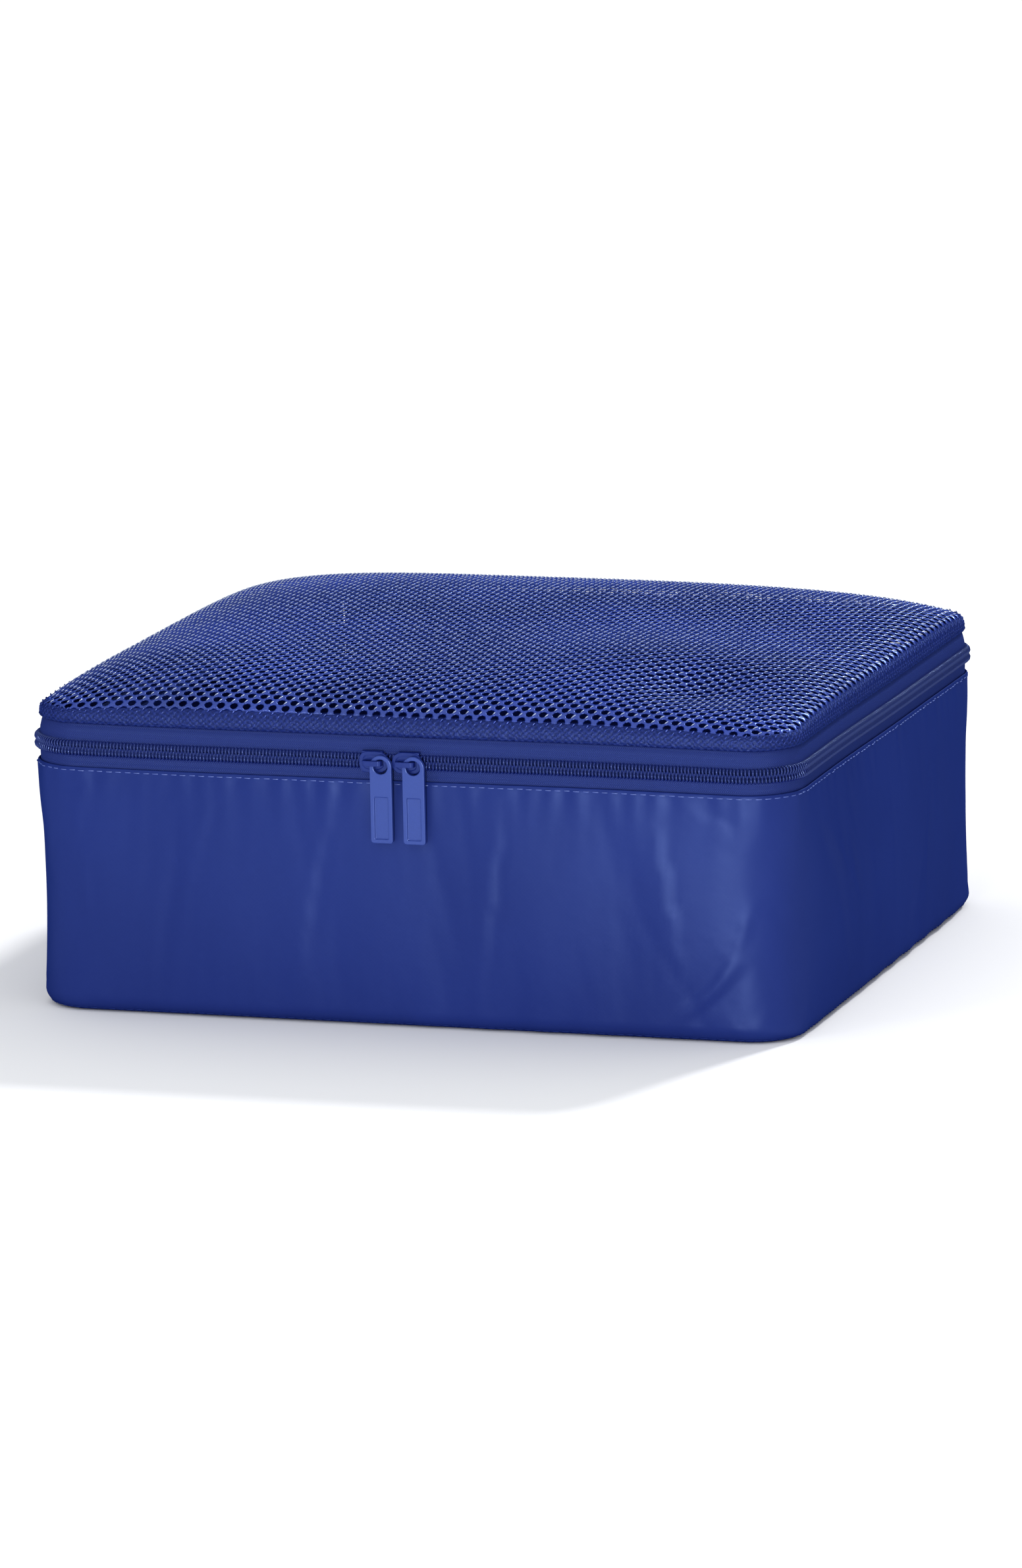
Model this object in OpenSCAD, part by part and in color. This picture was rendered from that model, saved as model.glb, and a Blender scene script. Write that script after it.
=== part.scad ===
// Soft-sided packing cube with a mesh lid.
// A nylon base and wall, closed by a zip that runs round three sides and part of the back.
// The mesh lid folds back about the fabric hinge between the two ends of the zip.
// Frame: the base rests on z = 0, +X runs along the front, +Y towards the hinge, +Z up.

/* [Case] */
// Width along the zipped front
case_w = 336; // [300:2:460]
// Depth from the zipped front to the hinged back
case_d = 300; // [220:2:400]
// Plan radius of the four upright corners
corner_r = 24; // [16:1:32]
// Height of the nylon wall, up to its folded top edge
wall_h = 105; // [70:1:160]
// Drawn thickness of a fabric panel
panel_t = 1.2; // [0.8:0.1:1.6]
// Drawn thickness of a seam binding
binding_t = 1; // [0.6:0.1:1.4]
// Height of a seam binding
binding_h = 8; // [5:0.5:12]
// Drawn thickness of a topstitch thread
thread_t = 0.4; // [0.3:0.05:0.6]

/* [Lid] */
// Height of the hem round the mesh panel
hem_h = 6; // [4:0.5:10]
// Rise of the crowned mesh panel above its hem
crown_h = 20; // [8:1:40]
// Width of the hinge between the two ends of the zip
hinge_w = 252; // [180:2:256]
// Gap at the fold line of the hinge
fold_gap = 0.8; // [0.6:0.1:1.2]
// Distance of the hinge axis behind the back wall
hinge_out = 1.6; // [1.4:0.1:2.4]

/* [Zip] */
// Height of lower tape that shows above the wall
lower_tape_h = 5; // [3:0.5:8]
// Height of upper tape that shows below the hem
upper_tape_h = 7; // [4:0.5:10]
// Width of the closed coil
coil_h = 6; // [5.4:0.1:6.6]
// Free slot between the two coils, where the neck of a slider runs
coil_slot = 1.4; // [1.2:0.1:1.6]
// How far the coil stands proud of the wall
coil_proud = 1; // [0.6:0.1:1.2]
// Drawn thickness of the zip tape
tape_t = 0.8; // [0.6:0.1:1]
// Length of the coil that each end tab covers
tab_cover = 8; // [5:1:12]

/* [Sliders] */
// Place along the front where the two sliders meet
meet_x = -4; // [-20:1:20]
// Distance between the centres of the closed sliders
slider_gap = 14.2; // [13.4:0.1:18]
// Length of a slider
slider_l = 12.5; // [11:0.5:13]
// Height of a slider at its mouth
slider_h = 9.4; // [9.2:0.1:10]
// Thickness of the front plate
front_plate_t = 1.5; // [1.2:0.1:1.8]
// Thickness of the back plate
back_plate_t = 1.3; // [1:0.1:1.6]
// Thickness of the neck that parts the coils
neck_t = 0.8; // [0.6:0.1:0.8]
// Running clearance round tape, coil and pull
clear = 0.3; // [0.3:0.05:0.35]

/* [Pulls] */
// Width of a pull
pull_w = 9.5; // [9:0.5:11]
// Length of a pull
pull_l = 37; // [28:1:45]
// Thickness of a pull
pull_t = 2; // [1.6:0.1:2.4]
// Radius of the hole that hangs on the bridge
pull_hole_r = 3.1; // [3:0.1:3.3]
// Distance from the slider centre to each leg of the bridge
leg_x = 3.6; // [3.4:0.1:3.9]
// Thickness of the bridge bar
bar_t = 1.3; // [1.1:0.1:1.4]
// Height of the bridge bar
bar_h = 2.2; // [1.8:0.1:2.2]

/* [Hidden] */
$fn = 72;

// Heights, from the base up
coil_z = wall_h + lower_tape_h;
zip_z = coil_z + coil_h / 2;
upper_tape_z = coil_z + coil_h;
hem_z = upper_tape_z + upper_tape_h;
rim_z = hem_z + hem_h;
fold_low_z = zip_z - fold_gap / 2;
fold_high_z = zip_z + fold_gap / 2;
coil_low_top = zip_z - coil_slot / 2;
coil_high_base = zip_z + coil_slot / 2;
stitch_drop = 2.2;

// Layers, as insets from the outer face of the wall
tape_in = panel_t;
binding_in = panel_t + tape_t;
coil_t = coil_proud + tape_in;

// Slider planes, along Y
front_y = -case_d / 2;
plate_y = front_y - coil_proud - clear;
plate_face_y = plate_y - front_plate_t;
back_plate_y = front_y + binding_in + clear + back_plate_t;
pull_y = plate_face_y - clear;
bar_y = pull_y - pull_t - clear;
flange_h = 1;
tail_h = 8.6;
mouth_r = slider_h / 2;
left_x = meet_x - slider_gap / 2;
right_x = meet_x + slider_gap / 2;

// Pull: the hole hangs a little below the leg that it turns on
hole_drop = 1.5;
panel_w = 6;
panel_l = 17.8;
panel_depth = 0.35;
panel_edge = 1.7;
pull_corner_r = 1.2;

// Tabs over the ends of the zip
tab_w = 2 * tab_cover;
tab_h = 9;
tab_t = 1.2;

// Crowned mesh panel
crown_rings = 14;
arc_steps = 9;
crown_p = 2.4;
crown_q = 0.8;

nylon_blue = [0.12, 0.18, 0.50];
binding_blue = [0.10, 0.15, 0.42];
tape_blue = [0.15, 0.21, 0.58];
coil_blue = [0.18, 0.26, 0.66];
mesh_blue = [0.17, 0.25, 0.62];
thread_blue = [0.30, 0.38, 0.78];
slider_blue = [0.16, 0.22, 0.56];
pull_blue = [0.27, 0.36, 0.72];

// ---- shared shapes ----

// Rectangle with rounded corners
module soft_rect(w, d, r) {
    square([w - 2 * r, d], center = true);
    square([w, d - 2 * r], center = true);
    for (sx = [-1, 1], sy = [-1, 1])
        translate([sx * (w / 2 - r), sy * (d / 2 - r)])
            circle(r);
}

// Outline of the case, set in from the outer face of the wall
module plan(inset) {
    soft_rect(case_w - 2 * inset, case_d - 2 * inset, corner_r - inset);
}

// Middle stretch of the back, as wide as asked
module back_zone(width) {
    translate([-width / 2, case_d / 2 - corner_r])
        square([width, 2 * corner_r]);
}

// Band right round the case
module band(inset, thick, z0, z1) {
    translate([0, 0, z0])
        linear_extrude(z1 - z0)
            difference() {
                plan(inset);
                plan(inset + thick);
            }
}

// Band along the front, the sides and the outer ends of the back
module zip_band(inset, thick, z0, z1, gap = hinge_w) {
    translate([0, 0, z0])
        linear_extrude(z1 - z0)
            difference() {
                plan(inset);
                plan(inset + thick);
                back_zone(gap);
            }
}

// Band along the middle of the back only
module hinge_band(inset, thick, z0, z1, width = hinge_w) {
    translate([0, 0, z0])
        linear_extrude(z1 - z0)
            intersection() {
                difference() {
                    plan(inset);
                    plan(inset + thick);
                }
                back_zone(width);
            }
}

// ---- nylon case ----

module base_panel() {
    color(nylon_blue)
        linear_extrude(panel_t)
            plan(0);
}

module side_wall() {
    color(nylon_blue)
        zip_band(0, panel_t, panel_t, wall_h);
}

module hinge_wall() {
    color(nylon_blue)
        hinge_band(0, panel_t, panel_t, fold_low_z);
}

module base_binding() {
    color(binding_blue)
        band(panel_t, binding_t, panel_t, panel_t + binding_h);
}

module wall_binding() {
    color(binding_blue)
        zip_band(binding_in, binding_t, wall_h - binding_h, wall_h);
}

// Upright binding over the seam between the side wall and the hinge wall
module seam_binding(side) {
    color(binding_blue)
        translate([side * (hinge_w / 2 - binding_h / 2), case_d / 2 - panel_t, panel_t + binding_h])
            translate([-binding_h / 2, -binding_t, 0])
                cube([binding_h, binding_t, wall_h - 2 * binding_h - panel_t]);
}

// Binding behind the fold line, fixed to the hinge wall
module hinge_binding() {
    color(binding_blue)
        hinge_band(panel_t + clear, binding_t, zip_z - binding_h, zip_z + binding_h / 4, hinge_w - 2 * binding_h);
    color(binding_blue)
        hinge_band(panel_t, clear, zip_z - binding_h, fold_low_z, hinge_w - 2 * binding_h);
}

module base_topstitch() {
    color(thread_blue)
        band(-thread_t, thread_t, 3, 3 + thread_t);
}

module wall_topstitch() {
    color(thread_blue)
        zip_band(-thread_t, thread_t, wall_h - stitch_drop, wall_h - stitch_drop + thread_t,
            hinge_w + tab_w);
}

// ---- zip ----

module lower_zipper_tape() {
    color(tape_blue)
        zip_band(tape_in, tape_t, wall_h - binding_h, coil_low_top);
}

module lower_zipper_coil() {
    color(coil_blue)
        zip_band(-coil_proud, coil_t, coil_z, coil_low_top, hinge_w + tab_w);
}

module upper_zipper_tape() {
    color(tape_blue)
        zip_band(tape_in, tape_t, coil_high_base, rim_z);
}

module upper_zipper_coil() {
    color(coil_blue)
        zip_band(-coil_proud, coil_t, coil_high_base, upper_tape_z, hinge_w + tab_w);
}

// Fabric tab sewn over the end of the lower half of the zip
module zipper_end_tab(side) {
    color(nylon_blue)
        translate([side * hinge_w / 2, case_d / 2, fold_low_z - tab_h])
            translate([-tab_w / 2, 0, 0])
                cube([tab_w, tab_t, tab_h]);
}

// ---- lid ----

// Quarter of the outline: the arc round the corner on side sx, sy
function corner_arc(w, d, r, a0, sx, sy) = [
    for (i = [0 : arc_steps])
        let (a = a0 + 90 * i / arc_steps)
            [sx * (w / 2 - r) + r * cos(a), sy * (d / 2 - r) + r * sin(a)]
];

// Outline of the case as points, anticlockwise
function outline(w, d, r) = concat(
    corner_arc(w, d, r, 0, 1, 1),
    corner_arc(w, d, r, 90, -1, 1),
    corner_arc(w, d, r, 180, -1, -1),
    corner_arc(w, d, r, 270, 1, -1)
);

// Height of the crown where the outline is shrunk to the fraction s
function crown_rise(s) = pow(1 - pow(s, crown_p), crown_q);

// One face of the crown: rings of the shrinking outline, ending in a middle point
function crown_points(inset, height) = concat(
    [
        for (k = [0 : crown_rings - 1])
            let (s = cos(90 * k / crown_rings))
                for (p = outline(case_w - 2 * inset, case_d - 2 * inset, corner_r - inset))
                    [p[0] * s, p[1] * s, rim_z + height * crown_rise(s)]
    ],
    [[0, 0, rim_z + height]]
);

module lid_mesh() {
    n = 4 * (arc_steps + 1);
    m = n * crown_rings + 1;
    outer = crown_points(0, crown_h);
    inner = crown_points(panel_t, crown_h - panel_t);
    outer_faces = [
        for (k = [0 : crown_rings - 2], i = [0 : n - 1], half = [0, 1])
            let (a = k * n + i, b = k * n + (i + 1) % n, c = a + n, d = b + n)
                half == 0 ? [a, c, b] : [b, c, d]
    ];
    outer_cap = [
        for (i = [0 : n - 1])
            [(crown_rings - 1) * n + i, m - 1, (crown_rings - 1) * n + (i + 1) % n]
    ];
    rim_faces = [
        for (i = [0 : n - 1], half = [0, 1])
            let (a = i, b = (i + 1) % n, c = m + i, d = m + (i + 1) % n)
                half == 0 ? [a, b, c] : [b, d, c]
    ];
    skin = concat(outer_faces, outer_cap);
    inner_faces = [for (f = skin) [f[0] + m, f[2] + m, f[1] + m]];
    color(mesh_blue)
        polyhedron(points = concat(outer, inner), faces = concat(skin, inner_faces, rim_faces), convexity = 4);
}

module lid_hem() {
    color(mesh_blue)
        band(0, panel_t, hem_z, rim_z);
}

module lid_binding() {
    color(binding_blue)
        zip_band(binding_in, binding_t, rim_z - binding_h, rim_z);
}

module lid_topstitch() {
    color(thread_blue)
        band(-thread_t, thread_t, hem_z + 1, hem_z + 1 + thread_t);
}

// Upper part of the hinge fabric, which folds back with the lid
module hinge_flap() {
    color(nylon_blue)
        hinge_band(0, panel_t, fold_high_z, hem_z);
}

// ---- sliders ----

// Plate outline: a round mouth and a squarer tail, mouth towards +X or -X
module slider_outline(mouth) {
    translate([mouth * (slider_l / 2 - mouth_r), 0])
        circle(mouth_r);
    translate([-mouth * mouth_r / 2, 0])
        soft_rect(slider_l - mouth_r, tail_h, 1.4);
}

// Upright plate whose front face lies at y = face_y
module upright(face_y, thick) {
    translate([0, face_y + thick, zip_z])
        rotate([90, 0, 0])
            linear_extrude(thick)
                children();
}

module slider_body(x, mouth) {
    neck_x = mouth * 3.4;
    flange_l = 9.4;
    color(slider_blue)
        translate([x, 0, 0]) {
            upright(plate_face_y, front_plate_t)
                slider_outline(mouth);
            upright(back_plate_y - back_plate_t, back_plate_t)
                slider_outline(mouth);
            translate([neck_x - 1, plate_y, zip_z - neck_t / 2])
                cube([2, back_plate_y - back_plate_t - plate_y, neck_t]);
            translate([-flange_l / 2, plate_y, coil_z - clear - flange_h])
                cube([flange_l, coil_t, flange_h]);
        }
}

// Arched bar that stands out from the front plate on two legs
module slider_bridge(x) {
    reach = plate_face_y - bar_y + bar_t;
    color(slider_blue)
        translate([x, plate_face_y, zip_z - bar_h / 2])
            linear_extrude(bar_h)
                difference() {
                    soft_rect(2 * leg_x + bar_t, 2 * reach, bar_t);
                    soft_rect(2 * leg_x - bar_t, 2 * (reach - bar_t), 0.3);
                    translate([-slider_l, 0])
                        square([2 * slider_l, 2 * reach]);
                }
}

module pull(x) {
    hole_z = -hole_drop;
    top_z = hole_z + pull_w / 2;
    tip_z = top_z - pull_l;
    panel_z = tip_z + panel_edge + panel_l / 2;
    color(pull_blue)
        translate([x + leg_x, 0, 0])
            difference() {
                upright(pull_y - pull_t, pull_t)
                    difference() {
                        union() {
                            translate([0, hole_z])
                                circle(pull_w / 2);
                            translate([0, (hole_z + tip_z) / 2])
                                soft_rect(pull_w, hole_z - tip_z, pull_corner_r);
                            translate([-pull_w / 2, hole_z - pull_w / 2])
                                square([pull_w, pull_w / 2]);
                        }
                        translate([0, hole_z])
                            circle(pull_hole_r);
                    }
                upright(pull_y - pull_t - 1, panel_depth + 1)
                    translate([0, panel_z])
                        soft_rect(panel_w, panel_l, 0.6);
            }
}

base_panel();
side_wall();
hinge_wall();
base_binding();
wall_binding();
seam_binding(-1);  // left_seam_binding
seam_binding(1);  // right_seam_binding
hinge_binding();
base_topstitch();
wall_topstitch();
lower_zipper_tape();
lower_zipper_coil();
zipper_end_tab(-1);  // left_zipper_end_tab
zipper_end_tab(1);  // right_zipper_end_tab
lid_mesh();
lid_hem();
lid_binding();
lid_topstitch();
hinge_flap();
upper_zipper_tape();
upper_zipper_coil();
slider_body(left_x, 1);  // left_slider_body
slider_bridge(left_x);  // left_slider_bridge
pull(left_x);  // left_pull
slider_body(right_x, -1);  // right_slider_body
slider_bridge(right_x);  // right_slider_bridge
pull(right_x);  // right_pull
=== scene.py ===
"""Packing cube: nylon case, mesh lid, coil zip with two sliders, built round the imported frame."""

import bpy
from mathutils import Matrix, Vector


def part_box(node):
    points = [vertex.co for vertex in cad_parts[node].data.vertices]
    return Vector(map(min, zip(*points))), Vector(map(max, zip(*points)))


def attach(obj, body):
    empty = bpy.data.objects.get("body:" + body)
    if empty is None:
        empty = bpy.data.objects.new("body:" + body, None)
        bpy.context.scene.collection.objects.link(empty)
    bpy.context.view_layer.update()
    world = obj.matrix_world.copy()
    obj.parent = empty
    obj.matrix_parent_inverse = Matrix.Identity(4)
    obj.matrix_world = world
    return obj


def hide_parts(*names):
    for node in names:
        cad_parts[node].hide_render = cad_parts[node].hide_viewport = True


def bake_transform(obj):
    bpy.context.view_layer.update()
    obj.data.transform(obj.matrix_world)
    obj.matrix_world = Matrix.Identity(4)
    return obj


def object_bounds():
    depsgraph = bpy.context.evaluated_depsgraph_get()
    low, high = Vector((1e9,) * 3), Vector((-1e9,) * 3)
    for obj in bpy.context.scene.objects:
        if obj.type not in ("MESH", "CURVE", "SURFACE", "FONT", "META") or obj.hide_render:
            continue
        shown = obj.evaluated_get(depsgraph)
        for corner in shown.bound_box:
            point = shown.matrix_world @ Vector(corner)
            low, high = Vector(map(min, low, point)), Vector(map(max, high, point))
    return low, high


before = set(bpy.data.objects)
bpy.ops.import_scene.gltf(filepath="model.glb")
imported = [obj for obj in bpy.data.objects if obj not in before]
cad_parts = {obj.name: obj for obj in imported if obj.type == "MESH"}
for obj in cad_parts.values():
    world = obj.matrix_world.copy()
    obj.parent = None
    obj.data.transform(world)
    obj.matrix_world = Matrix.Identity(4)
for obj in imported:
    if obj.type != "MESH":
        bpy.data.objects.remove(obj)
cad_box = [list(corner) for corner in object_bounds()]

import math

import bmesh
import bpy
import numpy as np
from mathutils import Quaternion, Vector

MM = 0.001

# ---- sizes, from the frame ----

wall_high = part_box("side_wall")[1]
hinge_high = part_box("hinge_wall")[1]
coil_low, coil_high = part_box("lower_zipper_coil")
upper_low, upper_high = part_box("upper_zipper_coil")
hem_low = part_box("lid_hem")[0]
crown_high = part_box("lid_mesh")[1]

HALF_X = wall_high.x
HALF_Y = wall_high.y
CORNER_R = 24 * MM
WALL_TOP = wall_high.z
ZIP_Z = (coil_high.z + upper_low.z) / 2
COIL_BASE = coil_low.z
COIL_TOP = upper_high.z
HEM_Z = hem_low.z
CROWN_Z = crown_high.z
HINGE_HALF = hinge_high.x
CLOTH_T = 0.5 * MM

# ---- the path round the case ----

SIDE_A = HALF_X - CORNER_R
SIDE_B = HALF_Y - CORNER_R
QUARTER = math.pi * CORNER_R / 2
STEPS = np.cumsum([0, SIDE_A, QUARTER, 2 * SIDE_B, QUARTER, 2 * SIDE_A, QUARTER, 2 * SIDE_B, QUARTER,
                   SIDE_A])
AXIS_X = SIDE_A * np.array([0, -1, -1, -1, -1, 1, 1, 1, 1, 0])
AXIS_Y = SIDE_B * np.array([1, 1, 1, -1, -1, -1, -1, 1, 1, 1])
TURN = np.radians([90, 90, 180, 180, 270, 270, 360, 360, 450, 450])
AROUND = STEPS[-1]
FRONT_U = AROUND / 2


def path_point(u, out, z):
    """Points at u along the outline of the case, out from its outer face, at height z."""
    u, out, z = np.broadcast_arrays(u, out, z)
    u = np.mod(u, AROUND)
    turn = np.interp(u, STEPS, TURN)
    r = CORNER_R + out
    x = np.interp(u, STEPS, AXIS_X) + r * np.cos(turn)
    y = np.interp(u, STEPS, AXIS_Y) + r * np.sin(turn)
    return np.stack([x, y, z], -1)


def outset_of(x, y):
    """How far outside the flat outline of the case each point lies, less than nought inside it."""
    dx, dy = np.abs(x) - SIDE_A, np.abs(y) - SIDE_B
    corner = np.hypot(np.maximum(dx, 0), np.maximum(dy, 0))
    return np.where((dx > 0) & (dy > 0), corner, np.maximum(dx, dy)) - CORNER_R


FULL_TURN = 6.283


def waves(u, longest, shortest, count, seed):
    """Smooth noise along the path that closes on itself, about -1 to 1."""
    random = np.random.default_rng(seed)
    total = np.zeros(np.shape(u))
    for _ in range(count):
        turns = max(1, round(AROUND / random.uniform(shortest, longest)))
        phase = random.uniform(0, FULL_TURN)
        total = total + np.sin(2 * math.pi * turns * np.asarray(u) / AROUND + phase)
    return total / math.sqrt(count)


def smooth(t):
    t = np.clip(t, 0, 1)
    return t * t * (3 - 2 * t)


# ---- mesh building ----


def make_piece(name, verts, faces, uvs=None):
    """A smooth-shaded mesh object. uvs, where given, is one pair per face corner, in metres."""
    mesh = bpy.data.meshes.new(name)
    faces = faces if isinstance(faces, list) else faces.tolist()
    mesh.from_pydata(np.asarray(verts, float).tolist(), [], faces)
    if uvs is not None:
        layer = mesh.uv_layers.new(name="cloth")
        layer.data.foreach_set("uv", np.asarray(uvs, np.float32).ravel())
    mesh.polygons.foreach_set("use_smooth", [True] * len(mesh.polygons))
    mesh.update()
    piece = bpy.data.objects.new(name, mesh)
    bpy.context.scene.collection.objects.link(piece)
    return piece


def solid(name, verts, faces, uvs=None):
    """A mesh object whose faces all look outward."""
    piece = make_piece(name, verts, faces, uvs)
    bm = bmesh.new()
    bm.from_mesh(piece.data)
    bmesh.ops.recalc_face_normals(bm, faces=bm.faces)
    bm.to_mesh(piece.data)
    bm.free()
    return piece


def grid_corners(rows, columns, wrap_rows, wrap_columns):
    """Row and column of each quad's four corners; a wrapped edge counts one past the last."""
    i = np.arange(rows if wrap_rows else rows - 1)
    j = np.arange(columns if wrap_columns else columns - 1)
    i, j = np.meshgrid(i, j, indexing="ij")
    corner_i = np.stack([i, i + 1, i + 1, i], -1)
    corner_j = np.stack([j, j, j + 1, j + 1], -1)
    return corner_i.reshape(-1, 4), corner_j.reshape(-1, 4)


def grid_faces(rows, columns, wrap_rows=False, wrap_columns=False):
    """Vertex numbers of the quads of a grid, as an array."""
    i, j = grid_corners(rows, columns, wrap_rows, wrap_columns)
    return i % rows * columns + j % columns


def sweep(name, u, out, z, closed_path=False):
    """A closed cross-section, given as out and height for each u, carried along the path."""
    u = np.asarray(u, float)
    out, z = np.broadcast_arrays(np.atleast_2d(out), np.atleast_2d(z))
    rows, columns = len(u), out.shape[1]
    out = np.broadcast_to(out, (rows, columns))
    z = np.broadcast_to(z, (rows, columns))
    verts = path_point(u[:, None], out, z).reshape(-1, 3)
    steps = np.hypot(np.diff(out, axis=1), np.diff(z, axis=1)).mean(0)
    last_step = np.hypot(out[0, 0] - out[0, -1], z[0, 0] - z[0, -1])
    round_section = np.concatenate([[0], np.cumsum(steps), [steps.sum() + last_step]])
    along_path = np.append(u, u[0] + AROUND)
    i, j = grid_corners(rows, columns, closed_path, True)
    uvs = np.stack([along_path[i], round_section[j]], -1).reshape(-1, 2)
    faces = grid_faces(rows, columns, closed_path, True).tolist()
    if not closed_path:
        first_end = list(range(columns))[::-1]
        faces += [first_end, list(range((rows - 1) * columns, rows * columns))]
        uvs = np.concatenate([uvs, np.zeros((2 * columns, 2))])
    return solid(name, verts, faces, uvs)


def stations(start, end, step):
    return np.linspace(start, end, max(2, round((end - start) / step) + 1))


def loop_stations(step):
    return np.arange(0, AROUND, AROUND / round(AROUND / step))


def beside(line, distance):
    """An open line moved sideways, square to its own run."""
    run = np.gradient(line, axis=0)
    normal = np.stack([-run[:, 1], run[:, 0]], -1)
    return line + normal / np.linalg.norm(normal, axis=1, keepdims=True) * distance


def strip_section(points, thick):
    """A closed section round an open line of (out, z) points, thick towards the inside."""
    line = np.asarray(points, float)
    section = np.concatenate([line, beside(line, thick)[::-1]])
    return section[:, 0], section[:, 1]


# ---- the shapes that fabric takes ----


ZIP_SWAY = 0.35 * MM


def zip_sway(u):
    """How the sewn zip line wanders up and down."""
    return ZIP_SWAY * waves(u, 0.26, 0.12, 4, 11)


def crease(s, z, s0, z0, s1, z1, width, depth):
    """A soft ridge or fold along a straight line on the wall, s counted from the front's middle."""
    ds, dz = s1 - s0, z1 - z0
    length2 = ds * ds + dz * dz
    t = np.clip(((s - s0) * ds + (z - z0) * dz) / length2, 0, 1)
    away = np.hypot(s - s0 - t * ds, z - z0 - t * dz)
    side = np.sign((s - s0) * dz - (z - z0) * ds)
    fade = np.sin(math.pi * np.clip(0.1 + 0.8 * t, 0, 1))
    return depth * fade * np.exp(-(away / width) ** 2) * (1 + 0.35 * side)


SIDE_S = SIDE_A + QUARTER
BACK_S = SIDE_S + 2 * SIDE_B
# Each fold: where s is counted from, then in mm its first s and z, its last s and z, width and depth.
FOLDS = [
    # low on the front, by the right corner
    (0, 103, 55, 131, 8, 7.0, -0.8),
    (0, 124, 14, 147, 38, 2.8, 1.2),
    (0, 134, 22, 150, 58, 3.4, 0.9),
    (0, 116, 10, 132, 22, 2.6, 0.8),
    # down the right side
    (SIDE_S, 14, 92, 78, 34, 6.0, 1.6),
    (SIDE_S, 44, 98, 100, 60, 7.0, -0.6),
    (SIDE_S, 150, 16, 190, 90, 9.0, 0.7),
    (BACK_S, -18, 10, -10, 100, 4.0, 0.5),
    # front, by the left corner, either side of the sliders and the broad swell on the right
    (-SIDE_A, 4, 30, -2, 98, 3.5, 1.0),
    (0, -30, 98, -46, 22, 11.0, 0.6),
    (0, -82, 96, -98, 40, 11.0, 0.4),
    (0, 44, 92, 36, 30, 13.0, 0.8),
    (0, 110, 96, 122, 26, 17.0, 1.1),
    # left side
    (-SIDE_S, -40, 90, -92, 36, 5.0, 1.2),
    (-SIDE_S, -150, 20, -176, 80, 5.0, 1.0),
    (-BACK_S, 22, 12, 30, 96, 3.6, 1.2),
]
BELLY = 2.2 * MM
SWELL = 0.6 * MM
RIPPLE = 0.12 * MM
CORNER_PULL = 1.2 * MM


def packed_out(u, z):
    """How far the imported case's wall stands out from its flat pattern, before its cloth is let go."""
    u = np.mod(u, AROUND)
    s = u - FRONT_U
    up = np.clip(z / WALL_TOP, 0, 1)
    arch = np.sin(math.pi * up)
    x_side = np.interp(u, STEPS, AXIS_X) / SIDE_A
    y_side = np.interp(u, STEPS, AXIS_Y) / SIDE_B
    flat = 1 - (x_side * y_side) ** 2
    belly = np.sin(math.pi * up ** 0.8) ** 0.9
    corner = np.exp(-((np.abs(x_side * y_side) - 1) / 0.22) ** 2)
    out = BELLY * smooth(flat * 1.6) * belly
    out = out + SWELL * waves(u, 0.16, 0.06, 5, 3) * belly
    out = out + RIPPLE * waves(u + 0.12 * z, 0.05, 0.025, 4, 5) * arch
    out = out - CORNER_PULL * corner * arch
    for datum, s0, z0, s1, z1, width, depth in FOLDS:
        first, last = (datum + s0 * MM, z0 * MM), (datum + s1 * MM, z1 * MM)
        out = out + crease(s, z, *first, *last, width * MM, depth * MM)
    return out


FILL_U = loop_stations(3 * MM)
FILL_Z = np.linspace(0, WALL_TOP, 36)
SEWN_ROWS = 2
SETTLING_STEPS = 25
FURTHEST_IN, FURTHEST_OUT = -5 * MM, 6 * MM


def fill_case():
    """The wall's cloth let go between its two seams and pressed outward, as the clothes inside do."""
    uu, zz = np.meshgrid(FILL_U, FILL_Z, indexing="ij")
    start = packed_out(uu, zz)
    points = path_point(uu, start, zz).reshape(-1, 3)
    cloth = solid("wall_cloth", points, grid_faces(len(FILL_U), len(FILL_Z), True))
    rows = np.arange(len(points)) % len(FILL_Z)
    sewn = np.flatnonzero((rows < SEWN_ROWS) | (rows >= len(FILL_Z) - SEWN_ROWS))
    cloth.vertex_groups.new(name="sewn").add(sewn.tolist(), 1.0, "REPLACE")
    modifier = cloth.modifiers.new("cloth", "CLOTH")
    modifier.collision_settings.use_collision = False
    settings = modifier.settings
    settings.vertex_group_mass = "sewn"
    settings.quality = 6
    settings.mass = 0.1
    settings.tension_stiffness = 25
    settings.compression_stiffness = 25
    settings.shear_stiffness = 8
    settings.bending_stiffness = 0.3
    settings.shrink_min = -0.0005
    settings.use_pressure = True
    settings.uniform_pressure_force = 2.5
    settings.effector_weights.gravity = 0
    scene = bpy.context.scene
    for step in range(1, SETTLING_STEPS + 1):
        scene.frame_set(step)
    evaluated = cloth.evaluated_get(bpy.context.evaluated_depsgraph_get())
    found = np.empty(len(points) * 3)
    evaluated.data.vertices.foreach_get("co", found)
    found = found.reshape(start.shape + (3,))
    bpy.data.objects.remove(cloth)
    scene.frame_set(1)
    moved = outset_of(found[..., 0], found[..., 1]) - start
    return start + np.clip(moved, FURTHEST_IN, FURTHEST_OUT)


FILL = fill_case()


def cubic(a, b, c, d, t):
    """A smooth curve from b to c that heads on from a and towards d."""
    return b + 0.5 * t * (c - a + t * (2 * a - 5 * b + 4 * c - d + t * (3 * (b - c) + d - a)))


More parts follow.
